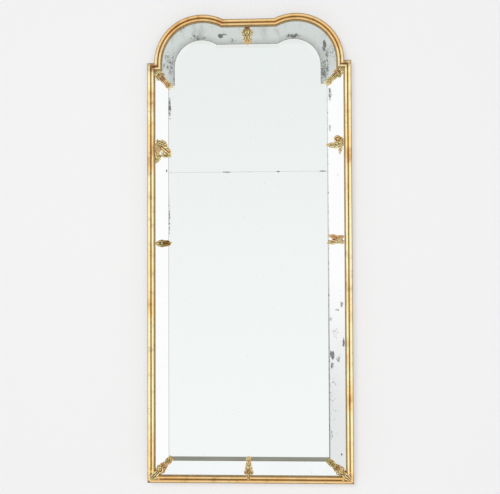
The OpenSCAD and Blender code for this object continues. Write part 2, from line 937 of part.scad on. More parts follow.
// Two open scrolls under the moulding and a fan of leaves below them
module top_clasp() {
    reach = joint_l(top_joint) + clasp_lap;
    color(gilt) seated(0) {
        on_joint(top_joint) {
            translate([0.6, 0, 0]) leaf(40, 16, 8);
            for (s = [-1, 1]) {
                translate([20, s * 10, 0]) volute(7.5, 2.3);
                translate([26, 0, 0]) rotate(s * 12) leaf(reach - 30, 14, 6);
            }
            translate([24, 0, 0]) leaf(reach - 24, 16, 7);
        }
    }
}

// A leaf over the moulding's inner bead, two scrolls, a stem and a flared head over the bevel
module bottom_clasp() {
    reach = joint_l(bottom_joint) + bottom_clasp_lap;
    color(gilt) seated(1) {
        on_joint(bottom_joint) {
            translate([4, 0, 0]) leaf(42, 16, 8);
            for (s = [-1, 1]) {
                translate([9.5, s * 9.5, 0]) volute(5.8, 2.2);
                translate([6, s * 6.5, 0]) rotate(-s * 8) leaf(36, 11, 7);
                translate([34, 0, 0]) rotate(s * 17) leaf(reach - 36, 13, 6);
            }
            translate([28, 0, 0]) leaf(reach - 28, 15, 7);
            translate([-wrap_l, 0, 0]) leaf(2 * wrap_l + 2, 16, wrap_h);
        }
        bottom_run(clasp_play);
    }
}

// ---- iron hanger ----

hanger_nail_places = [
    for (s = [-1, 1], k = [0, 1]) [s * hanger_nail_x, hanger_nail_z + k * hanger_nail_rise]
];
hanger_nail_l = hanger_t + batten_t + board_t - 2;

module hanger_plate() {
    color(iron)
        difference() {
            union() {
                sheet(batten_back - hanger_t, batten_back)
                    box2(-hanger_w / 2, hanger_top - hanger_h, hanger_w / 2, hanger_top);
                translate([-eye_w / 2, -batten_back + hanger_t / 2, eye_z - eye_r - eye_wall])
                    cube([eye_w, eye_off + hanger_t / 2, 2 * (eye_r + eye_wall)]);
                translate([-eye_w / 2, eye_y, eye_z]) rotate([0, 90, 0])
                    cylinder(eye_w, r = eye_r + eye_wall);
            }
            translate([-eye_w, eye_y, eye_z]) rotate([0, 90, 0]) cylinder(2 * eye_w, r = eye_r);
            hanger_nail_bores();
        }
}

// Hangs straight down from the eye at rest
module hanger_ring() {
    color(iron)
        translate([0, eye_y, eye_z - ring_r])
            rotate([90, 0, 0])
                rotate_extrude() translate([ring_r, 0]) circle(wire_r);
}

module hanger_nail_shape(g) {
    cylinder(hanger_nail_l + g, r = nail_r + g);
    cylinder(hanger_head_t, r1 = hanger_head_r + g, r2 = nail_r + g);
}

module hanger_nails() {
    color(iron)
        for (p = hanger_nail_places)
            translate([p[0], -batten_back + hanger_t, p[1]]) rotate([90, 0, 0])
                hanger_nail_shape(0);
}

module hanger_nail_bores() {
    for (p = hanger_nail_places)
        translate([p[0], -batten_back + hanger_t, p[1]]) rotate([90, 0, 0])
            hanger_nail_shape(pin_play);
}

left_stile();
right_stile();
bottom_rail();
crest_rail();
left_board();
centre_board();
right_board();
upper_batten();
middle_batten();
lower_batten();
glue_blocks();
joint_pegs();
batten_nails();
ledge_nails();
centre_upper_plate();
centre_lower_plate();
top_left_slip();
top_right_slip();
upper_left_slip();
upper_right_slip();
middle_left_slip();
middle_right_slip();
lower_left_slip();
lower_right_slip();
bottom_left_slip();
bottom_right_slip();
left_moulding();
right_moulding();
bottom_moulding();
left_shoulder_moulding();
right_shoulder_moulding();
left_arch_moulding();
right_arch_moulding();
crest_moulding();
top_clasp();
bottom_clasp();
left_shoulder_clasp();
right_shoulder_clasp();
upper_left_clasp();
upper_right_clasp();
middle_left_clasp();
middle_right_clasp();
left_corner_clasp();
right_corner_clasp();
clasp_pins();
hanger_plate();
hanger_ring();
hanger_nails();
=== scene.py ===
"""Looks of the pier mirror: gilding, old mirror glass, carvings, pine back and iron hanger."""

import math

import bmesh
import bpy
import numpy as np
from mathutils import Matrix, Vector, noise


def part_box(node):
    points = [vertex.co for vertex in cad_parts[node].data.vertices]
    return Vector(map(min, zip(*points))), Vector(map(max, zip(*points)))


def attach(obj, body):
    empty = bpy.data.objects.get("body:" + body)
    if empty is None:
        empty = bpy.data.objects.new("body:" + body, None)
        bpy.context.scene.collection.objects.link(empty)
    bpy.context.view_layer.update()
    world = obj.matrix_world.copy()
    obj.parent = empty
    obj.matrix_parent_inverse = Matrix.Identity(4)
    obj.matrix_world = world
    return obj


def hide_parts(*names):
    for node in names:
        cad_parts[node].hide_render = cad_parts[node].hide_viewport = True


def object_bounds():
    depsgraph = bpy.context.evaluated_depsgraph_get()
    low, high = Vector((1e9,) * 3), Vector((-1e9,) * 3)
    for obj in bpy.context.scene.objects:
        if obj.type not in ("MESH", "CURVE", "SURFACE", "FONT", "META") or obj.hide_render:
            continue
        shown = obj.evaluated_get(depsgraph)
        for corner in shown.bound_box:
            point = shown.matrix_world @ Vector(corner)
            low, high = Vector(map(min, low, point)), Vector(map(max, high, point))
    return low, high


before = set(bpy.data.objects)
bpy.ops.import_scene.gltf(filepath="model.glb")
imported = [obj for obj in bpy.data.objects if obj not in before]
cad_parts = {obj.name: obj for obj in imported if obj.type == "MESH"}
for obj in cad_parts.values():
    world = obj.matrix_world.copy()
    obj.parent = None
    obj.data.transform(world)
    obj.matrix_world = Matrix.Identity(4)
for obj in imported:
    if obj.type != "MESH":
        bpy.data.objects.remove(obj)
cad_low, cad_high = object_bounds()

# ---- sizes in metres, read from the frame ----

MM = 0.001
HALF_W = cad_high.x
FOOT_Z = cad_low.z
SHOULDER_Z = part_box("right_moulding")[1].z
FLAT_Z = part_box("crest_moulding")[1].z
MOULDING_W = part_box("bottom_moulding")[1].z - FOOT_Z
SIGHT_X = HALF_W - MOULDING_W
RIM_FRONT = -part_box("left_moulding")[1].y
SLIP_FRONT = -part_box("lower_left_slip")[0].y
PLATE_LOW, PLATE_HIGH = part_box("centre_lower_plate")[0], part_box("centre_upper_plate")[1]
PLATE_X = (PLATE_LOW.x + PLATE_HIGH.x) / 2
SEAM_Z = (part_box("centre_lower_plate")[1].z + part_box("centre_upper_plate")[0].z) / 2
BEVEL_W = 14 * MM
ARCH_X, ARCH_R = 158 * MM, 93 * MM
ARCH_Z, DIP_Z = PLATE_HIGH.z - ARCH_R, PLATE_HIGH.z - 16 * MM


# ---- materials as nodes ----

def colour(red, green, blue):
    """A colour in 8-bit display levels, as linear RGBA."""
    levels = [level / 255 for level in (red, green, blue)]
    return (*[x / 12.92 if x <= 0.04045 else ((x + 0.055) / 1.055) ** 2.4 for x in levels], 1.0)


WHITE = (1.0, 1.0, 1.0, 1.0)


class Varying:
    """A value that varies over a surface. Arithmetic on it adds Math nodes."""

    def __init__(self, nodes, socket):
        self.nodes = nodes
        self.socket = socket

    def maths(self, operation, *values):
        return self.nodes.node("ShaderNodeMath", {"operation": operation}, dict(enumerate(values)))

    def __add__(self, other):
        return self.maths("ADD", self, other)

    def __sub__(self, other):
        return self.maths("SUBTRACT", self, other)

    def __rsub__(self, other):
        return self.maths("SUBTRACT", other, self)

    def __mul__(self, other):
        return self.maths("MULTIPLY", self, other)

    __radd__ = __add__
    __rmul__ = __mul__

    def highest(self, other):
        return self.maths("MAXIMUM", self, other)

    def lowest(self, other):
        return self.maths("MINIMUM", self, other)

    def absolute(self):
        return self.maths("ABSOLUTE", self)

    def fraction(self):
        return self.maths("FRACT", self)


class Nodes:
    """A node tree that is built up one node at a time."""

    def __init__(self, tree):
        self.tree = tree

    def node(self, kind, settings=None, inputs=None, output=0):
        made = self.tree.nodes.new(kind)
        for name, value in (settings or {}).items():
            if name == "stops":
                self.set_stops(made.color_ramp, value)
            else:
                setattr(made, name, value)
        for name, value in (inputs or {}).items():
            self.plug(value, made.inputs[name])
        return Varying(self, made.outputs[output])

    def set_stops(self, ramp, stops):
        while len(ramp.elements) < len(stops):
            ramp.elements.new(1.0)
        for element, (place, shade) in zip(ramp.elements, stops):
            element.position = place
            element.color = shade

    def plug(self, value, socket):
        if isinstance(value, Varying):
            self.tree.links.new(value.socket, socket)
        else:
            socket.default_value = value

    def axis(self, vector, index):
        return self.node("ShaderNodeSeparateXYZ", {}, {0: vector}, output=index)

    def length(self, vector):
        return self.node("ShaderNodeVectorMath", {"operation": "LENGTH"}, {0: vector},
                         output="Value")

    def band(self, value, low, high):
        """0 at low and 1 at high, smooth between them."""
        return self.node("ShaderNodeMapRange", {"interpolation_type": "SMOOTHSTEP"},
                         {"Value": value, "From Min": low, "From Max": high})

    def mix(self, first, second, share):
        return self.node("ShaderNodeMix", {"data_type": "RGBA"},
                         {0: share, 6: first, 7: second}, output=2)

    def times(self, first, second):
        """Two colours multiplied."""
        return self.node("ShaderNodeMix", {"data_type": "RGBA", "blend_type": "MULTIPLY"},
                         {0: 1.0, 6: first, 7: second}, output=2)

    def ramp(self, value, *stops):
        return self.node("ShaderNodeValToRGB", {"stops": stops}, {0: value})


class Finish(Nodes):
    """A material whose patterns lie on Object coordinates."""

    def __init__(self, name, **constants):
        self.material = bpy.data.materials.new(name)
        self.material.use_nodes = True
        super().__init__(self.material.node_tree)
        self.shader = self.tree.nodes["Principled BSDF"]
        for socket, value in constants.items():
            self.shader.inputs[socket.replace("_", " ")].default_value = value
        self.place = self.node("ShaderNodeTexCoord", output="Object")

    def moved(self, stretch=(1, 1, 1), shift=(0, 0, 0)):
        return self.node("ShaderNodeMapping", {},
                         {"Vector": self.place, "Location": shift, "Scale": stretch})

    def noise(self, scale, detail=4.0, rough=0.5, stretch=(1, 1, 1), shift=(0, 0, 0)):
        """Uneven between 0 and 1, with about as many waves to a metre as scale says."""
        return self.node("ShaderNodeTexNoise", {},
                         {"Vector": self.moved(stretch, shift), "Scale": scale,
                          "Detail": detail, "Roughness": rough})

    def bumps(self, height, strength, depth):
        return self.node("ShaderNodeBump", {},
                         {"Height": height, "Strength": strength, "Distance": depth})

    def spot(self, x, z, wide, tall):
        """1 at a place on the front, falling to 0 at the edge of an oval round it."""
        reach = self.moved((1 / wide, 0, 1 / tall), (-x / wide, 0, -z / tall))
        return self.band(self.length(reach), 1.0, 0.25)

    def spots(self, places):
        """The strongest of several ovals, each (x, z, width, height, strength)."""
        strongest, *others = [self.spot(x, z, wide, tall) * strength
                              for x, z, wide, tall, strength in places]
        for other in others:
            strongest = strongest.highest(other)
        return strongest

    def surface(self, **varying):
        for socket, value in varying.items():
            self.plug(value, self.shader.inputs[socket.replace("_", " ")])
        return self.material


def dress(material, *nodes):
    """Gives CAD nodes a material."""
    for name in nodes:
        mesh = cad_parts[name].data
        mesh.materials.clear()
        mesh.materials.append(material)


# ---- gilding ----

LEAF_LIGHT = colour(255, 243, 196)
LEAF_WARM = colour(255, 226, 162)
LEAF_ORANGE = colour(228, 172, 106)
LEAF_BROWN = colour(176, 120, 66)
# painted shade for the moulding's groove, and the dull patches of leaf
GROOVE_SHADE_AND_DULL_GOLD = colour(136, 102, 46)
SLOPE_PAINTED_SHADE = colour(178, 158, 122)
BOLE = colour(132, 70, 42)
HANDLED_BOLE = colour(150, 98, 62)
GRIME = colour(58, 44, 26)
DULL_SHARE, RUBBED_SHARE, DIRT_SHARE = 0.35, 0.75, 0.7

# the moulding's section, as heights over the front of the rim
BEAD_TOP, BEAD_SIDE = 12 * MM, 9.4 * MM
GROOVE_EDGE, GROOVE_BED = 8.0 * MM, 6.2 * MM
SLOPE_TOP, SLOPE_LOW = 5.0 * MM, 4.2 * MM
CREST_STARTS, CREST_FULL = -0.16, 0.03
FOOT_ENDS, FOOT_FULL = FOOT_Z + 45 * MM, FOOT_Z + 20 * MM

# ovals on the front, each (x, z, width, height, strength)
SHOULDER_WEAR = (
    (-0.331, -0.088, 0.030, 0.024, 0.85), (0.335, -0.084, 0.024, 0.018, 0.7),
)
BUMPED_CORNERS = (
    (-HALF_W + 4 * MM, FOOT_Z + 3 * MM, 8 * MM, 7 * MM, 0.85),
    (HALF_W - 4 * MM, FOOT_Z + 3 * MM, 7 * MM, 6 * MM, 0.5),
)
# painted shade over some of the carvings
CARVING_PAINTED_SHADE = (
    (-0.288, -0.695, 0.027, 0.026, 0.15), (-0.009, 0.040, 0.024, 0.016, 0.12),
    (-0.285, -0.335, 0.024, 0.020, 0.07), (0.300, -0.330, 0.030, 0.024, 0.06),
    (-0.258, -1.435, 0.050, 0.050, 0.07), (0.258, -1.435, 0.050, 0.050, 0.07),
)

# the carvings' gold, from grime and painted shade in the hollows to painted highlights on the
# ridges
COOL_GOLD_PAINTED_SHADING = (
    (0.22, GRIME), (0.38, colour(98, 80, 30)), (0.48, colour(164, 134, 64)),
    (0.55, colour(234, 206, 126)), (0.65, colour(255, 250, 212)),
)
WARM_GOLD_PAINTED_SHADING = (
    (0.22, GRIME), (0.38, colour(100, 58, 28)), (0.48, colour(172, 108, 60)),
    (0.56, colour(238, 182, 118)), (0.67, colour(255, 236, 190)),
)


def gild(finish, tone, hollow, ridge, wear):
    """Gold leaf on red-brown bole: patched with dull leaf and rubbed through on the ridges."""
    patches = finish.noise(38, detail=5, rough=0.6, shift=(3, 1, 2))
    dull = finish.band(patches, 0.52, 0.74) * DULL_SHARE
    tone = finish.mix(tone, GROOVE_SHADE_AND_DULL_GOLD, dull)
    rubs = finish.noise(160, detail=6, rough=0.7, shift=(1, 5, 0))
    rubbed = finish.band(rubs + ridge * wear, 0.66, 0.74)
    tone = finish.mix(tone, BOLE, rubbed * RUBBED_SHARE)
    specks = finish.noise(420, detail=3, rough=0.7, shift=(7, 2, 4))
    dirt = finish.band(specks + hollow * 0.14, 0.66, 0.74)
    tone = finish.mix(tone, GRIME, dirt * DIRT_SHARE)
    metal = 1 - rubbed * RUBBED_SHARE - dirt * 0.6 - hollow * 0.25
    rough = 0.28 + patches * 0.12 + rubbed * 0.3 + hollow * 0.2
    craze = finish.noise(900, detail=3, rough=0.6)
    relief = finish.bumps(rubs * 0.5 + craze * 0.3 - rubbed * 0.5 + patches * 0.8, 0.5, 0.5 * MM)
    return finish.surface(Base_Color=tone, Metallic=metal, Roughness=rough, Normal=relief)


def moulding_gold():
    """The beads shine; the groove between them is brown and the slope at the glass is grey, both
    painted shade.
    """
    finish = Finish("moulding_gold")
    height = finish.axis(finish.place, 1) * -1 - RIM_FRONT
    up = finish.axis(finish.place, 2)
    clouds = finish.noise(9, detail=3)
    tone = finish.mix(LEAF_LIGHT, LEAF_WARM, finish.band(clouds, 0.35, 0.68))
    # the crest and the foot are mixed towards orange; at the foot this is painted shade, darker
    # than the sides
    crest = finish.band(up, CREST_STARTS, CREST_FULL)
    foot = finish.band(up, FOOT_ENDS, FOOT_FULL)
    tone = finish.mix(tone, LEAF_ORANGE, crest * 0.5 + foot * 0.5)
    handled = finish.noise(17, detail=4, rough=0.55, stretch=(1, 1, 0.5), shift=(6, 0, 3))
    tone = finish.mix(tone, LEAF_ORANGE, finish.band(handled, 0.54, 0.70) * 0.55)
    tone = finish.mix(tone, LEAF_BROWN, finish.band(handled, 0.64, 0.74) * 0.35)
    wander = finish.noise(30, detail=2, shift=(2, 9, 5)) * (1.4 * MM) - 0.7 * MM
    hollow = finish.band(height + wander, GROOVE_EDGE, GROOVE_BED)
    # painted shade: the groove between the beads is darkened to brown
    tone = finish.mix(tone, GROOVE_SHADE_AND_DULL_GOLD, hollow * 0.9)
    # painted shade: the slope down to the glass is greyed
    tone = finish.mix(tone, SLOPE_PAINTED_SHADE, finish.band(height, SLOPE_TOP, SLOPE_LOW) * 0.8)
    fingered = finish.band(finish.noise(95, detail=4, rough=0.6, shift=(1, 3, 8)), 0.36, 0.58)
    tone = finish.mix(tone, HANDLED_BOLE, finish.spots(SHOULDER_WEAR) * fingered)
    tone = finish.mix(tone, GRIME, finish.spots(BUMPED_CORNERS))
    return gild(finish, tone, hollow, finish.band(height, BEAD_SIDE, BEAD_TOP), wear=0.05)


def carved_gold():
    """Gold on the carvings, from grime and painted shade in the hollows to painted highlights of
    pale leaf on the ridges.
    """
    finish = Finish("carved_gold")
    relief = finish.node("ShaderNodeAttribute", {"attribute_name": "relief"}, output="Fac")
    height = finish.axis(finish.place, 1) * -1 - SLIP_FRONT
    # painted shade: the carving is darker where it comes down to the glass
    shade_at_glass = finish.band(height, 3.6 * MM, 0.6 * MM) * 0.16
    stain = finish.noise(60, detail=4, rough=0.6, shift=(5, 0, 2)) * 0.30 - 0.15
    stands = relief + stain - shade_at_glass - finish.spots(CARVING_PAINTED_SHADE)
    warm = finish.band(finish.noise(26, detail=2, shift=(4, 4, 1)), 0.46, 0.62)
    # painted shade and painted highlights: how far a point stands out picks its colour
    tone = finish.mix(finish.ramp(stands, *COOL_GOLD_PAINTED_SHADING), finish.ramp(stands, *WARM_GOLD_PAINTED_SHADING), warm)
    hollow = finish.band(stands, 0.46, 0.20)
    return gild(finish, tone, hollow, finish.band(relief, 0.62, 0.85), wear=0.06)


def pin_gold():
    """The heads of the pins, a duller gold than the leaf round them."""
    finish = Finish("pin_gold")
    wear = finish.noise(300, detail=4, rough=0.6)
    tone = finish.mix(colour(222, 186, 112), colour(134, 96, 50), finish.band(wear, 0.48, 0.68))
    return finish.surface(Base_Color=tone, Metallic=1 - finish.band(wear, 0.5, 0.7) * 0.5,
                          Roughness=0.38 + wear * 0.2, Normal=finish.bumps(wear, 0.4, 0.3 * MM))


# ---- mirror glass ----

TARNISH = colour(78, 80, 76)
GLASS_LOSS = (0.885, 0.885, 0.885, 1.0)
UPRIGHT_BLOTS, LEVEL_BLOTS = (1, 1, 0.6), (0.5, 1, 1)
FOXED_FROM, FOXED_FULL = -0.70, -1.28
BLOTTED, PRICKED, SMUDGED = 0.26, 0.28, 0.62

# where the silver is worn, as ovals on the front, each (x, z, width, height, strength)
TOP_WEAR = (
    (-0.175, 0.012, 0.052, 0.018, 0.70), (-0.098, 0.016, 0.014, 0.012, 1.25),
    (-0.084, 0.021, 0.018, 0.005, 0.90), (-0.055, 0.000, 0.024, 0.012, 0.65),
    (-0.275, -0.075, 0.036, 0.075, 0.62), (-0.253, -0.130, 0.011, 0.045, 1.00),
    (-0.243, 0.048, 0.040, 0.030, 0.65), (0.150, 0.012, 0.050, 0.015, 0.75),
    (-0.275, 0.040, 0.030, 0.012, 0.70), (-0.300, 0.010, 0.012, 0.030, 0.65),
    (0.259, -0.024, 0.012, 0.036, 0.95), (0.268, -0.052, 0.012, 0.022, 0.85),
    (0.258, -0.108, 0.030, 0.060, 0.78), (0.285, -0.050, 0.040, 0.080, 0.50),
)
LEFT_WEAR = (
    (-0.284, -0.447, 0.005, 0.007, 1.10), (-0.300, -0.900, 0.040, 0.300, 0.08),
)
RIGHT_WEAR = (
    (0.279, -1.077, 0.014, 0.024, 1.10), (0.279, -1.115, 0.009, 0.026, 0.90),
    (0.318, -1.035, 0.007, 0.024, 1.10), (0.276, -0.955, 0.007, 0.014, 0.70),
    (0.297, -0.925, 0.012, 0.008, 0.70), (0.300, -1.090, 0.014, 0.018, 0.85),
    (0.312, -0.905, 0.008, 0.020, 0.90), (0.290, -1.000, 0.020, 0.030, 0.50),
    (0.272, -1.205, 0.012, 0.005, 0.80), (0.276, -1.345, 0.010, 0.020, 0.60),
    (0.309, -1.412, 0.006, 0.007, 1.00), (0.283, -1.220, 0.030, 0.200, 0.30),
    (0.300, -0.460, 0.020, 0.030, 0.30), (0.277, -0.192, 0.010, 0.040, 0.84),
    (0.276, -0.305, 0.007, 0.020, 0.80),
)
FOOT_WEAR = ((0.20, -1.47, 0.10, 0.02, 0.15),)
CENTRE_WEAR = (
    (-0.076, SEAM_Z, 0.022, 0.0030, 1.25), (0.099, SEAM_Z, 0.008, 0.0035, 1.35),
    (0.250, SEAM_Z, 0.026, 0.0030, 0.95), (-0.020, SEAM_Z, 0.240, 0.0014, 0.55),
    (-0.2735, -0.228, 0.008, 0.065, 0.88), (-0.2745, -0.60, 0.005, 0.120, 0.72),
)


def old_mirror(finish, tint, worn, stretch=UPRIGHT_BLOTS):
    """Silvered glass in a tint, whose silver is lost in blots and pricks where it is worn."""
    blots = finish.noise(150, detail=6, rough=0.75, stretch=stretch, shift=(2, 0, 3))
    grains = finish.noise(430, detail=3, rough=0.7, stretch=stretch, shift=(8, 0, 1))
    cloud = finish.noise(70, detail=4, rough=0.6, stretch=stretch, shift=(4, 0, 6))
    lost = finish.band(blots + worn * BLOTTED, 0.65, 0.74)
    pricks = finish.band(grains + worn * PRICKED, 0.70, 0.80) * 0.85
    smudge = finish.band(worn + cloud * 0.8, 1.10, 1.60) * SMUDGED
    gone = lost.highest(pricks).highest(smudge)
    shade = finish.times(finish.mix(tint, TARNISH, gone * 0.85), GLASS_LOSS)
    ripple = finish.bumps(finish.noise(3.2, detail=1), 0.12, 1.0 * MM)
    return finish.surface(Base_Color=shade, Metallic=1 - gone * 0.35,
                          Roughness=0.035 + gone * 0.35, Normal=ripple)


def top_mirror():
    """The slips round the arches, grey and foxed, most of all next to the centre glass."""
    finish = Finish("top_mirror")
    aside = (finish.axis(finish.place, 0) - PLATE_X).absolute()
    up = finish.axis(finish.place, 2)
    from_arch = finish.node("ShaderNodeCombineXYZ", {},
                            {0: aside - ARCH_X, 2: (up - ARCH_Z).highest(0)})
    past_arch = finish.length(from_arch) - ARCH_R
    past_dip = up - DIP_Z + finish.band(aside, ARCH_X - 60 * MM, ARCH_X)
    from_glass = past_arch.lowest(past_dip)
    cloud = finish.noise(26, detail=5, rough=0.6, stretch=(1, 1, 0.5))
    near = finish.band(from_glass + cloud * (20 * MM), 36 * MM, 4 * MM)
    tint = finish.mix(colour(211, 216, 213), colour(172, 175, 170), near * 0.85)
    tint = finish.mix(tint, colour(152, 153, 147), finish.band(cloud, 0.50, 0.74) * 0.4)
    edge = finish.band(from_glass, 4.5 * MM, 1 * MM) * 0.5
    return old_mirror(finish, tint, finish.spots(TOP_WEAR).highest(edge))


def left_mirror():
    """The clear slips of the left side."""
    finish = Finish("left_mirror")
    haze = finish.noise(7, detail=3)
    tint = finish.mix(colour(255, 255, 255), colour(247, 249, 250), haze * 0.6)
    return old_mirror(finish, tint, finish.spots(LEFT_WEAR))


def right_mirror():
    """The slips of the right side: clear above, greyer and foxed below, with a painted shadow line
    along the centre glass.
    """
    finish = Finish("right_mirror")
    x, up = finish.axis(finish.place, 0), finish.axis(finish.place, 2)
    haze = finish.noise(14, detail=4, stretch=(1, 1, 0.3))
    low = finish.band(up + haze * 0.1, FOXED_FROM, FOXED_FULL)
    tint = finish.mix(colour(254, 254, 255), colour(229, 232, 230), low)
    tint = finish.mix(tint, colour(226, 228, 222), finish.band(haze, 0.5, 0.75) * low * 0.6)
    # painted shadow: a dark line along the joint with the centre glass, stronger lower down
    joint_shadow = finish.band((x - (PLATE_HIGH.x + 1.5 * MM)).absolute(), 4 * MM, 1.5 * MM)
    tint = finish.mix(tint, colour(140, 141, 136), joint_shadow * finish.band(up, -0.15, -1.3) * 0.75)
    # the painted shadow line also takes off some silver along it
    return old_mirror(finish, tint, finish.spots(RIGHT_WEAR).highest(joint_shadow * 0.45))


def bottom_mirror():
    """The bluish slips of the foot."""
    finish = Finish("bottom_mirror")
    haze = finish.noise(8, detail=3)
    tint = finish.mix(colour(250, 252, 253), colour(240, 244, 243), haze)
    return old_mirror(finish, tint, finish.spots(FOOT_WEAR))


def centre_mirror():
    """The centre plates, greying slightly upwards and grey along the bevel at the foot, both
    painted reflection, and chipped at the seam.
    """
    finish = Finish("centre_mirror")
    up = finish.axis(finish.place, 2)
    bevel_z = PLATE_LOW.z + BEVEL_W
    # painted reflection: the bevel at the foot is tinted dark grey
    bevel_reflection = finish.band(up, bevel_z + 0.6 * MM, bevel_z - 0.6 * MM)
    cloudy = finish.noise(12, detail=3, stretch=(1, 1, 6))
    grey = finish.mix(colour(160, 161, 150), colour(136, 138, 128), cloudy)
    # painted reflection: the clear glass greys slightly towards the top
    rise = finish.band(up, PLATE_LOW.z, PLATE_HIGH.z)
    clear = finish.mix(colour(244, 248, 247), colour(238, 242, 241), rise)
    tint = finish.mix(clear, grey, bevel_reflection)
    return old_mirror(finish, tint, finish.spots(CENTRE_WEAR), LEVEL_BLOTS)


# ---- pine and iron ----

# each pine: its name, the axis of its grain, its pale and dark wood, its seed and its nodes
PINES = (
    ("stile_pine", "Z", colour(150, 114, 78), colour(112, 80, 52), 1.0,
     ("left_stile", "right_stile")),
    ("rail_pine", "X", colour(150, 114, 78), colour(112, 80, 52), 2.0,
     ("bottom_rail", "crest_rail")),
    ("left_board_pine", "Z", colour(138, 104, 70), colour(104, 76, 49), 3.0, ("left_board",)),
    ("centre_board_pine", "Z", colour(138, 104, 70), colour(104, 76, 49), 4.7, ("centre_board",)),
    ("right_board_pine", "Z", colour(138, 104, 70), colour(104, 76, 49), 6.4, ("right_board",)),
    ("batten_pine", "X", colour(158, 120, 82), colour(120, 86, 55), 4.0,
     ("upper_batten", "middle_batten", "lower_batten")),
    ("block_pine", "Z", colour(164, 124, 84), colour(124, 90, 58), 5.0, ("glue_blocks",)),
    ("peg_pine", "Y", colour(130, 96, 62), colour(96, 68, 42), 6.0, ("joint_pegs",)),
)
PINE_STAIN = colour(74, 54, 36)
ALONG_GRAIN = 0.03


def pine(name, grain, pale, dark, seed):
    """Old planed pine; grain is the axis that its fibres run along."""
    finish = Finish(name, Specular_IOR_Level=0.25)
    rings_run = [ALONG_GRAIN if axis == grain else 1.0 for axis in "XYZ"]
    fibres_run = [ALONG_GRAIN / 2 if axis == grain else 1.0 for axis in "XYZ"]
    shift = (seed, seed * 0.7, seed * 1.3)
    figure = finish.noise(52, detail=2, rough=0.4, stretch=rings_run, shift=shift)
    ring = (figure * 9).fraction()
    late_wood = finish.band(ring, 0.55, 0.92) - finish.band(ring, 0.92, 1.0)
    fibres = finish.noise(520, detail=4, rough=0.6, stretch=fibres_run)
    stain = finish.noise(7, detail=4, rough=0.6, shift=(seed + 2, 1, 0))
    tone = finish.mix(pale, dark, late_wood * 0.8)
    tone = finish.mix(tone, dark, finish.band(fibres, 0.5, 0.75) * 0.5)
    tone = finish.mix(tone, PINE_STAIN, finish.band(stain, 0.54, 0.78) * 0.5)
    relief = finish.bumps(figure * 0.6 + fibres * 0.5, 0.5, 0.5 * MM)
    return finish.surface(Base_Color=tone, Roughness=0.72 + fibres * 0.18, Normal=relief)


def forged_iron(name):
    """Hammered iron, black with brown rust."""
    finish = Finish(name, Specular_IOR_Level=0.4)
    rust = finish.band(finish.noise(120, detail=6, rough=0.7), 0.46, 0.62)
    bloom = finish.noise(700, detail=3, rough=0.7)
    tone = finish.mix(colour(58, 54, 52), colour(106, 66, 42), rust)
    tone = finish.mix(tone, colour(136, 84, 48), finish.band(bloom, 0.6, 0.75) * rust)
    dents = finish.noise(90, detail=2)
    relief = finish.bumps(dents + rust * 0.4 + bloom * 0.15, 0.6, 0.6 * MM)
    return finish.surface(Base_Color=tone, Metallic=0.85 - rust * 0.7,
                          Roughness=0.45 + rust * 0.35, Normal=relief)


def dress_nodes():
    """Gives every CAD node that shows its material."""
    dress(moulding_gold(), *[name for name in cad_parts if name.endswith("_moulding")])
    dress(pin_gold(), "clasp_pins")
    dress(centre_mirror(), "centre_upper_plate", "centre_lower_plate")
    dress(top_mirror(), "top_left_slip", "top_right_slip")
    dress(left_mirror(), "upper_left_slip", "middle_left_slip", "lower_left_slip")
    dress(right_mirror(), "upper_right_slip", "middle_right_slip", "lower_right_slip")
    dress(bottom_mirror(), "bottom_left_slip", "bottom_right_slip")
    for name, grain, pale, dark, seed, nodes in PINES:
        dress(pine(name, grain, pale, dark, seed), *nodes)
    dress(forged_iron("hanger_iron"), "hanger_plate", "hanger_ring", "hanger_nails")
    dress(forged_iron("nail_iron"), "batten_nails", "ledge_nails")


# ---- carving: worked in millimetres, with X along the joint, Y across and Z off the glass ----

VOXEL = 0.45
FLOOR = -1.5     # parts go down to here before the back is cut flat
BACK = 0.05      # just off the slips
LEAF_GRID = {"x_segments": 60, "y_segments": 28}
LEAF_SWEEP, LEAST_HALF = 0.05, 0.5
CUT_LEAN, CUT_SPREAD, CUT_DEPTH = 0.6, 0.42, 0.30
RIB_RISE, CHANNEL_DEPTH, CHANNEL_AT = 0.08, 0.24, 0.27
PETALS = 5
STEPS_IN_TURN = 26
PIN_SEAT, PIN_HEAD = 4.5, 2.2
SMOOTH_ROUNDS = 2
CHISEL_DEPTH, CHISEL_SCALE = 0.16, 0.45
RELIEF_ROUNDS, RELIEF_SPAN = 60, 1.3
MIRRORED = Matrix.Diagonal((1, -1, 1, 1))


def turned(part, x, y, angle=0.0, z=0.0, flip=False):
    """Puts a carved part at (x, y) on the glass, turned by an angle in degrees."""
    place = Matrix.Translation((x, y, z)) @ Matrix.Rotation(math.radians(angle), 4, "Z")
    if flip:
        place = place @ MIRRORED
    bmesh.ops.transform(part, matrix=place, verts=part.verts)
    if flip:
        bmesh.ops.reverse_faces(part, faces=part.faces)
    return part


def pair(make, x, y, angle=0.0):
    """The same part on both sides of the joint, mirrored."""
    return [turned(make(), x, y, angle), turned(make(), x, -y, -angle, flip=True)]


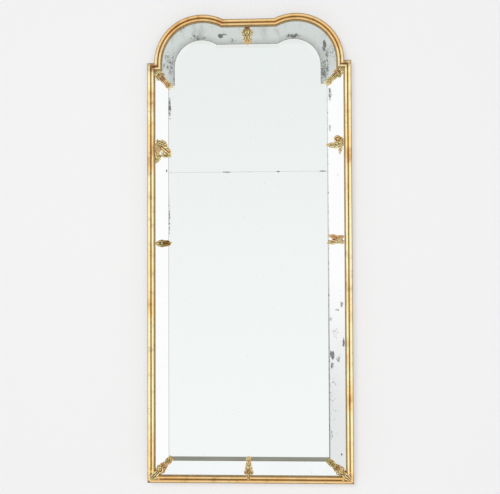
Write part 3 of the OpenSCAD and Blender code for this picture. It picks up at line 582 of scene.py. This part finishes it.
def leaf_point(along, across, width, height, lobes, blunt):
    """Half the width of a leaf at a place along it, and its height at a point there.

    Along goes from 0 at the root to 1 at the tip, and across from -1 to 1 between the rims.
    """
    side = abs(across)
    swell = math.sin(math.pi * min(1.0, along * 0.93 + 0.05) ** 0.8) ** (0.75 - 0.4 * blunt)
    between = math.sin(math.pi * (lobes * along - CUT_LEAN * side + 0.1))
    cut = math.exp(-(between / CUT_SPREAD) ** 2)
    half = max(LEAST_HALF, width / 2 * swell * (1.04 - CUT_DEPTH * cut * side ** 2))
    crown = math.sin(math.pi * min(1.0, along * 0.80 + 0.16)) ** 0.6
    arch = 0.42 + 0.58 * max(0.0, 1 - side ** 2.4) ** 0.6
    rib = RIB_RISE * math.exp(-(across / 0.12) ** 2)
    channel = CHANNEL_DEPTH * math.exp(-((side - CHANNEL_AT) / 0.10) ** 2)
    notch = CUT_DEPTH * cut * side ** 0.6
    return half, height * (crown * (arch + (rib - channel) * swell - notch))


def leaf(length, width, height, lobes=3, blunt=0.0):
    """A lobed leaf with a midrib and cuts between its lobes, its root at the origin.

    Its outline is pointed where blunt is 0 and full where it is 1.
    """
    part = bmesh.new()
    bmesh.ops.create_grid(part, **LEAF_GRID, size=1)
    rim = [edge for edge in part.edges if edge.is_boundary]
    for vert in part.verts:
        along, across = (vert.co.x + 1) / 2, vert.co.y
        half, high = leaf_point(along, across, width, height, lobes, blunt)
        swept = LEAF_SWEEP * length * abs(across) ** 2 * (1 - along)
        vert.co = (length * along + swept, half * across, high)
    walls = bmesh.ops.extrude_edge_only(part, edges=rim)["geom"]
    for vert in [item for item in walls if isinstance(item, bmesh.types.BMVert)]:
        vert.co.z = FLOOR
    bmesh.ops.holes_fill(part, edges=[edge for edge in part.edges if edge.is_boundary])
    bmesh.ops.recalc_face_normals(part, faces=part.faces)
    return part


def volute(radius, stem, turns=1.4, eye=0.34):
    """A scroll of tapering stem that winds in to an eye at the origin, from +X to its left.

    The eye is a share of the radius.
    """
    part = bmesh.new()
    steps = round(STEPS_IN_TURN * turns)
    made = bmesh.ops.create_circle(part, segments=12, radius=stem)
    stand = Matrix.Translation((radius, 0, 0)) @ Matrix.Rotation(math.pi / 2, 4, "X")
    bmesh.ops.transform(part, matrix=stand, verts=made["verts"])
    front = list(part.edges)
    wind = Matrix.Rotation(2 * math.pi * turns / steps, 4, "Z")
    wind = wind @ Matrix.Scale(eye ** (1 / steps), 4)
    for _ in range(steps):
        grown = bmesh.ops.extrude_edge_only(part, edges=front)["geom"]
        front = [item for item in grown if isinstance(item, bmesh.types.BMEdge)]
        verts = [item for item in grown if isinstance(item, bmesh.types.BMVert)]
        bmesh.ops.transform(part, matrix=wind, verts=verts)
    bmesh.ops.holes_fill(part, edges=[edge for edge in part.edges if edge.is_boundary])
    bmesh.ops.create_uvsphere(part, u_segments=16, v_segments=10, radius=radius * eye * 0.9)
    bmesh.ops.create_cone(part, cap_ends=True, segments=24, radius1=radius + stem * 0.4,
                          radius2=radius, depth=2 * stem,
                          matrix=Matrix.Translation((0, 0, -1.1 * stem)))
    bmesh.ops.translate(part, verts=part.verts, vec=(0, 0, stem * 1.15))
    bmesh.ops.recalc_face_normals(part, faces=part.faces)
    return part


def rosette(radius, height, start):
    """Cupped petals round a domed eye, the first at an angle in degrees."""
    part = bmesh.new()
    for index in range(PETALS):
        angle = Matrix.Rotation(math.radians(start + 360 * index / PETALS), 4, "Z")
        shape = Matrix.Diagonal((radius * 0.44, radius * 0.40, height * 0.62, 1))
        petal = angle @ Matrix.Translation((radius * 0.60, 0, height * 0.25)) @ shape
        bmesh.ops.create_uvsphere(part, u_segments=16, v_segments=12, radius=1, matrix=petal)
    bmesh.ops.create_uvsphere(part, u_segments=16, v_segments=10, radius=radius * 0.24,
                              matrix=Matrix.Translation((0, 0, height * 0.62)))
    bmesh.ops.create_cone(part, cap_ends=True, segments=24, radius1=radius * 0.72,
                          radius2=radius * 0.62, depth=height * 0.45 - FLOOR,
                          matrix=Matrix.Translation((0, 0, (height * 0.45 + FLOOR) / 2)))
    return part


def joined(parts):
    """One mesh of several carved parts."""
    block = bmesh.new()
    for part in parts:
        mesh = bpy.data.meshes.new("part")
        part.to_mesh(mesh)
        part.free()
        block.from_mesh(mesh)
        bpy.data.meshes.remove(mesh)
    mesh = bpy.data.meshes.new("block")
    block.to_mesh(mesh)
    block.free()
    return mesh


def fused(parts):
    """Carved parts as one shell, as if cut from one block."""
    mesh = joined(parts)
    rough = bpy.data.objects.new("block", mesh)
    bpy.context.scene.collection.objects.link(rough)
    remesh = rough.modifiers.new("fuse", "REMESH")
    remesh.mode = "VOXEL"
    remesh.voxel_size = VOXEL
    ready = rough.evaluated_get(bpy.context.evaluated_depsgraph_get())
    carved = bmesh.new()
    carved.from_mesh(ready.to_mesh())
    bpy.data.objects.remove(rough)
    bpy.data.meshes.remove(mesh)
    return carved


def trimmed(carved, pin_x):
    """Softens a carving, and gives it chisel marks, a flat seat for its pin and a flat back."""
    for _ in range(SMOOTH_ROUNDS):
        bmesh.ops.smooth_vert(carved, verts=carved.verts, factor=0.5,
                              use_axis_x=True, use_axis_y=True, use_axis_z=True)
    for vert in carved.verts:
        vert.co += vert.normal * CHISEL_DEPTH * noise.noise(vert.co * CHISEL_SCALE)
        if math.hypot(vert.co.x - pin_x, vert.co.y) < PIN_HEAD and vert.co.z > PIN_SEAT:
            vert.co.z = PIN_SEAT
    bmesh.ops.bisect_plane(carved, geom=[*carved.verts, *carved.edges, *carved.faces],
                           plane_co=(0, 0, BACK), plane_no=(0, 0, 1), clear_inner=True)
    bmesh.ops.triangle_fill(carved, edges=[edge for edge in carved.edges if edge.is_boundary],
                            use_beauty=True)
    bmesh.ops.recalc_face_normals(carved, faces=carved.faces)
    for face in carved.faces:
        face.smooth = True
    return carved


def settle_relief(mesh):
    """Writes how far each point stands out of the surface round it, 0.5 where it is even."""
    count = len(mesh.vertices)
    points = np.empty(count * 3)
    normals = np.empty(count * 3)
    ends = np.empty(len(mesh.edges) * 2, int)
    mesh.vertices.foreach_get("co", points)
    mesh.vertices.foreach_get("normal", normals)
    mesh.edges.foreach_get("vertices", ends)
    points, normals, ends = points.reshape(-1, 3), normals.reshape(-1, 3), ends.reshape(-1, 2)
    degree = np.bincount(ends.ravel(), minlength=count)[:, None]
    smooth = points.copy()
    for _ in range(RELIEF_ROUNDS):
        total = np.zeros_like(smooth)
        np.add.at(total, ends[:, 0], smooth[ends[:, 1]])
        np.add.at(total, ends[:, 1], smooth[ends[:, 0]])
        smooth = 0.5 * smooth + 0.5 * total / np.maximum(degree, 1)
    stands = ((points - smooth) * normals).sum(1)
    values = np.clip(0.5 + stands / (2 * RELIEF_SPAN), 0, 1).astype(np.float32)
    relief = mesh.attributes.new("relief", "FLOAT", "POINT")
    relief.data.foreach_set("value", values)


def place_on_joint(start, end):
    """The matrix that stands a carving on the slips, with X from start to end, each (x, z)."""
    along = Vector((end[0] - start[0], 0, end[1] - start[1])).normalized()
    across = Vector((-along.z, 0, along.x))
    turn = Matrix((along, across, (0, -1, 0))).transposed().to_4x4()
    return Matrix.Translation((start[0], -SLIP_FRONT, start[1])) @ turn @ Matrix.Scale(MM, 4)


def carve(node, place, parts, pin_x, gold):
    """Makes one carving of its parts and sets it in the place of a CAD clasp."""
    carved = trimmed(fused(parts), pin_x)
    mesh = bpy.data.meshes.new(f"carved_{node}")
    carved.to_mesh(mesh)
    carved.free()
    settle_relief(mesh)
    mesh.transform(place)
    if place.is_negative:
        mesh.flip_normals()
    mesh.materials.append(gold)
    piece = bpy.data.objects.new(mesh.name, mesh)
    bpy.context.scene.collection.objects.link(piece)
    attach(piece, "mirror")
    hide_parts(node)


# ---- the ten clasps: reach is the length of a clasp from the moulding to its tip ----

MITRE_WRAP = 18.5     # how far the leaf at a mitre comes over each of the two mouldings


def spray(reach):
    """Corner or shoulder: a root, a ribbed knot between two scrolls and a leaf with two tips."""
    parts = [turned(leaf(30, 18, 9, lobes=2), 1, 0),
             turned(leaf(38, 8, 11.5, lobes=1), 13, 0),
             turned(leaf(32, 19, 9, lobes=3), 33, 0)]
    parts += pair(lambda: leaf(42, 11, 9.8, lobes=2), 14, 6.5, -3)
    parts += pair(lambda: leaf(26, 12, 7, lobes=2), 1, 0, 30)
    parts += pair(lambda: volute(5.4, 2.3), 27, 11.5, 160)
    parts += pair(lambda: leaf(reach - 44, 15, 8, lobes=2, blunt=0.5), 44, 1, 8)
    return parts


def corner_spray(reach):
    """The spray with a broad leaf that wraps the moulding at the mitre."""
    wrap = MITRE_WRAP * math.sqrt(2)
    parts = [turned(leaf(2 * wrap + 2, 24, 15.0, lobes=3), -wrap, 0)]
    parts += pair(lambda: leaf(30, 11, 13.2, lobes=2), -wrap + 6, 3, 40)
    parts += pair(lambda: leaf(44, 16, 8.5, lobes=4, blunt=0.4), 6, 6, 3)
    return spray(reach) + parts


def bossed_corner(reach):
    """The corner spray with a round scroll on top, whose eye holds the pin."""
    return corner_spray(reach) + [turned(volute(10.5, 3.2, 1.3, eye=0.5), 24, 0, 200, z=5.0)]


def left_bud(reach):
    """A pale root leaf, an open pod with a seed in it, and a tip."""
    parts = [turned(leaf(26, 22, 6.5, lobes=2), 1, 0),
             turned(leaf(25, 8, 9.5, lobes=1), 13, 0),
             turned(leaf(reach - 26, 18, 7.5, lobes=2), 26, 1, 2)]
    return parts + pair(lambda: leaf(42, 15, 9.5, lobes=1, blunt=0.4), 10, 7.5, -6)


def right_bud(reach):
    """Two leaves to the glass and two to the moulding, that grow out of a knot."""
    return [turned(volute(12.5, 3.6), 24, 4, 40),
            turned(leaf(reach - 19, 16, 8, lobes=2, blunt=0.4), 18, 9, 13),
            turned(leaf(reach - 16, 17, 8.5, lobes=2, blunt=0.4), 17, -2, -8),
            turned(leaf(36, 15, 8.5, lobes=2, blunt=0.5), 5, 3, 0),
            turned(leaf(31, 16, 7.5, lobes=2), 1, 15, -15),
            turned(leaf(31, 15, 7.5, lobes=2), 1, -8, 15)]


def left_branch():
    """A husk over a broad slanting leaf, with a scroll below, all on a root along the moulding."""
    return [turned(leaf(80, 16, 5.5, lobes=3, blunt=0.5), 6, -38, 89),
            turned(leaf(37, 25, 10, lobes=3, blunt=0.4), 8, 32, -22),
            turned(leaf(24, 12, 11.5, lobes=2), 15, 13, 52),
            turned(leaf(26, 13, 7.5, lobes=2), 5, 4, 22),
            turned(leaf(46, 31, 10, lobes=3, blunt=0.7), 19, 13, -40),
            turned(leaf(46, 9, 9, lobes=2), 12, -15, -8),
            turned(volute(8.8, 2.6, 1.5), 10.5, -21, 60),
            turned(leaf(24, 10, 7, lobes=2), -1, -41, 35)]


def right_branch(reach):
    """A ringed boss over a level leaf, with a small leaf that hangs along the moulding."""
    return [turned(volute(12.5, 3.6, 1.2, eye=0.5), 21, 22, 200),
            turned(rosette(6.5, 11, start=60), 21, 22),
            turned(volute(7.0, 2.5), 8, 22, 20),
            turned(leaf(32, 17, 8, lobes=2, blunt=0.5), 0, 13, 4),
            turned(leaf(reach - 10, 21, 8.5, lobes=3, blunt=0.6), 10, 0, 2),
            turned(leaf(34, 16, 7.5, lobes=2, blunt=0.4), 0, 4),
            turned(leaf(36, 15, 7, lobes=2, blunt=0.3), 9, 6, -80)]


def crest_drop(reach):
    """Two open scrolls under the moulding and a fan of leaves below them."""
    parts = [turned(leaf(40, 15, 9.5, lobes=2), 1, 0),
             turned(leaf(reach - 24, 17, 8.5, lobes=2, blunt=0.6), 24, 0)]
    parts += pair(lambda: leaf(24, 13, 7, lobes=2, blunt=0.4), 1, 3, 24)
    parts += pair(lambda: volute(8.8, 2.6, 1.5), 22, 10.5, 120)
    parts += pair(lambda: leaf(reach - 30, 18, 7.5, lobes=2, blunt=0.5), 26, 2, 18)
    return parts


def foot_clasp(reach):
    """A leaf over the moulding, two scrolls, a tapering stem and a head over the bevel."""
    parts = [turned(leaf(38, 18, 15.4, lobes=3), -18, 0),
             turned(leaf(42, 16, 9, lobes=3), 4, 0),
             turned(leaf(reach - 28, 15, 8.5, lobes=2, blunt=0.5), 28, 0)]
    parts += pair(lambda: volute(7.0, 2.4, 1.5), 9.5, 9.5, 200)
    parts += pair(lambda: leaf(46, 14, 8, lobes=3, blunt=0.4), 4, 8, -6)
    parts += pair(lambda: leaf(reach - 38, 12, 7.5, lobes=2, blunt=0.5), 36, 1.5, 10)
    return parts


# what each side clasp is made by, how far along it its pin is, and its least reach
SIDE_CLASPS = {
    "upper_left_clasp": (lambda _: left_branch(), 30, 0),
    "middle_left_clasp": (left_bud, 22, 57),
    "left_corner_clasp": (bossed_corner, 24, 83),
    "left_shoulder_clasp": (spray, 24, 83),
    "upper_right_clasp": (right_branch, 27, 0),
    "middle_right_clasp": (right_bud, 22, 0),
    "right_corner_clasp": (corner_spray, 24, 83),
    "right_shoulder_clasp": (spray, 24, 83),
}
SIDE_LAP, FOOT_LAP = 3, 17
CREST_REACH, CREST_PIN = 62, 17
FOOT_PIN = 22


def slip_joint(side, above, below):
    """The height of the joint between two slips of a side."""
    return (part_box(f"{above}_{side}_slip")[0].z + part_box(f"{below}_{side}_slip")[1].z) / 2


def place_clasps(gold):
    """The ten carvings, each on its joint. Right-hand ones are mirrored, to keep Y upwards."""
    crest_edge, foot_edge = FLAT_Z - MOULDING_W, FOOT_Z + MOULDING_W
    for side, sight, glass, facing in (("left", -SIGHT_X, PLATE_LOW.x, Matrix.Identity(4)),
                                       ("right", SIGHT_X, PLATE_HIGH.x, MIRRORED)):
        upper, middle = slip_joint(side, "upper", "middle"), slip_joint(side, "middle", "lower")
        heights = {
            f"upper_{side}_clasp": (upper, upper),
            f"middle_{side}_clasp": (middle, middle),
            f"{side}_corner_clasp": (foot_edge, PLATE_LOW.z),
            f"{side}_shoulder_clasp": (SHOULDER_Z - MOULDING_W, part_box("top_left_slip")[0].z),
        }
        for node, (start_z, end_z) in heights.items():
            make, pin_x, least = SIDE_CLASPS[node]
            joint = (sight, start_z), (glass, end_z)
            reach = max(least, math.dist(*joint) / MM + SIDE_LAP)
            carve(node, place_on_joint(*joint) @ facing, make(reach), pin_x, gold)
    crest = (PLATE_X, crest_edge), (PLATE_X, crest_edge - CREST_REACH * MM)
    carve("top_clasp", place_on_joint(*crest), crest_drop(CREST_REACH), CREST_PIN, gold)
    foot = (PLATE_X, foot_edge), (PLATE_X, PLATE_LOW.z)
    foot_reach = math.dist(*foot) / MM + FOOT_LAP
    carve("bottom_clasp", place_on_joint(*foot), foot_clasp(foot_reach), FOOT_PIN, gold)


# ---- stage ----

WALL_PAINT, FLOOR_PAINT = colour(174, 174, 175), colour(170, 170, 170)
WALL_GLOW = (1.0, 0.995, 0.985, 1.0)
PLAIN_LIGHT, ROOM_GLOW = 0.25, 1.13
MIDDLE_Z = -0.7
WALL_REACH, WALL_GAP = 4.0, 0.6 * MM
FLOOR_REACH, FLOOR_DROP = 5.0, 0.25
CAMERA_PLACE = (0.266, -4.0, -0.850)
CAMERA_TURNS = ((3.812, "Z"), (92.019, "X"), (-0.215, "Z"))
LENS, SENSOR = 83.95, 36.0


def plane(name, size, place, material):
    """A flat square of the stage, which reaches a size each way from its middle."""
    grid = bmesh.new()
    bmesh.ops.create_grid(grid, x_segments=1, y_segments=1, size=size, matrix=place)
    mesh = bpy.data.meshes.new(name)
    grid.to_mesh(mesh)
    grid.free()
    mesh.materials.append(material)
    sheet = bpy.data.objects.new(name, mesh)
    bpy.context.scene.collection.objects.link(sheet)
    return sheet


def plaster(name, tone):
    """Pale paint that is seen from its front only, lit in part by a glow of its own."""
    finish = Finish(name, Specular_IOR_Level=0.1, Roughness=0.9, Emission_Strength=0.45)
    finish.surface(Base_Color=tone, Emission_Color=WALL_GLOW)
    behind = finish.node("ShaderNodeNewGeometry", output="Backfacing")
    paint = Varying(finish, finish.shader.outputs[0])
    clear = finish.node("ShaderNodeBsdfTransparent")
    one_sided = finish.node("ShaderNodeMixShader", {}, {0: behind, 1: paint, 2: clear})
    finish.plug(one_sided, finish.tree.nodes["Material Output"].inputs["Surface"])
    return finish.material


def build_stage():
    """The wall behind the mirror, which lights nothing and casts no shadow, and the floor."""
    wall_place = Matrix.Translation((0, WALL_GAP, MIDDLE_Z)) @ Matrix.Rotation(math.pi / 2, 4, "X")
    wall = plane("wall", WALL_REACH, wall_place, plaster("wall_paint", WALL_PAINT))
    wall.visible_diffuse = False
    wall.visible_glossy = False
    wall.visible_shadow = False
    floor_place = Matrix.Translation((0, 0, FOOT_Z - FLOOR_DROP))
    floor = plane("floor", FLOOR_REACH, floor_place, plaster("floor_paint", FLOOR_PAINT))
    floor.visible_glossy = False


def build_world():
    """A plain level of light, and a pale room for the glass and gold to reflect."""
    world = bpy.data.worlds.new("room")
    world.use_nodes = True
    bpy.context.scene.world = world
    world.node_tree.nodes.clear()
    nodes = Nodes(world.node_tree)
    toward = nodes.node("ShaderNodeTexCoord", output="Generated")
    up = nodes.axis(toward, 2)
    ahead = nodes.axis(toward, 1) * -1
    room = nodes.ramp(up * 0.5 + 0.5,
                      (0.0, colour(226, 222, 214)), (0.42, colour(254, 254, 254)),
                      (0.52, colour(254, 254, 254)), (0.60, colour(252, 253, 253)),
                      (0.70, colour(255, 255, 255)), (0.86, colour(214, 208, 198)))
    dim = nodes.mix(colour(172, 168, 160), WHITE, nodes.band(ahead, -0.15, 0.5))
    room = nodes.times(room, dim)
    glossy = nodes.node("ShaderNodeLightPath", output="Is Glossy Ray")
    camera = nodes.node("ShaderNodeLightPath", output="Is Camera Ray")
    through = nodes.node("ShaderNodeLightPath", output="Is Transmission Ray")
    plain = nodes.node("ShaderNodeBackground", {}, {"Color": WHITE, "Strength": PLAIN_LIGHT})
    mirrored = nodes.node("ShaderNodeBackground", {}, {"Color": room, "Strength": ROOM_GLOW})
    blank = nodes.node("ShaderNodeBackground", {},
                       {"Color": colour(241, 241, 241), "Strength": 1.0})
    lit = nodes.node("ShaderNodeMixShader", {}, {0: glossy, 1: plain, 2: mirrored})
    shown = nodes.node("ShaderNodeMixShader", {}, {0: camera.highest(through), 1: lit, 2: blank})
    output = world.node_tree.nodes.new("ShaderNodeOutputWorld")
    nodes.plug(shown, output.inputs["Surface"])


def light(name, place, size, power):
    """A soft round lamp that faces the mirror's middle, and that glass and gold don't reflect."""
    data = bpy.data.lights.new(name, "AREA")
    data.shape = "DISK"
    data.size = size
    data.energy = power
    lamp = bpy.data.objects.new(name, data)
    lamp.location = place
    toward = Vector((0, 0, MIDDLE_Z)) - Vector(place)
    lamp.rotation_euler = toward.to_track_quat("-Z", "Y").to_euler()
    lamp.visible_glossy = False
    bpy.context.scene.collection.objects.link(lamp)


def build_camera():
    """Set by the photo's corners: slightly to the right of the mirror and looking a little up."""
    data = bpy.data.cameras.new("camera")
    data.sensor_width = SENSOR
    data.lens = LENS
    camera = bpy.data.objects.new("camera", data)
    place = Matrix.Translation(CAMERA_PLACE)
    for angle, axis in CAMERA_TURNS:
        place = place @ Matrix.Rotation(math.radians(angle), 4, axis)
    camera.matrix_world = place
    bpy.context.scene.collection.objects.link(camera)
    bpy.context.scene.camera = camera


dress_nodes()
place_clasps(carved_gold())
build_stage()
build_world()
light("key", (-1.2, -6.4, 0.5), 2.8, 205)
light("fill", (1.6, -6.2, -1.3), 2.8, 100)
light("back", (1.8, 6.4, 1.4), 2.6, 420)
build_camera()

bpy.context.scene.view_settings.view_transform = "Standard"
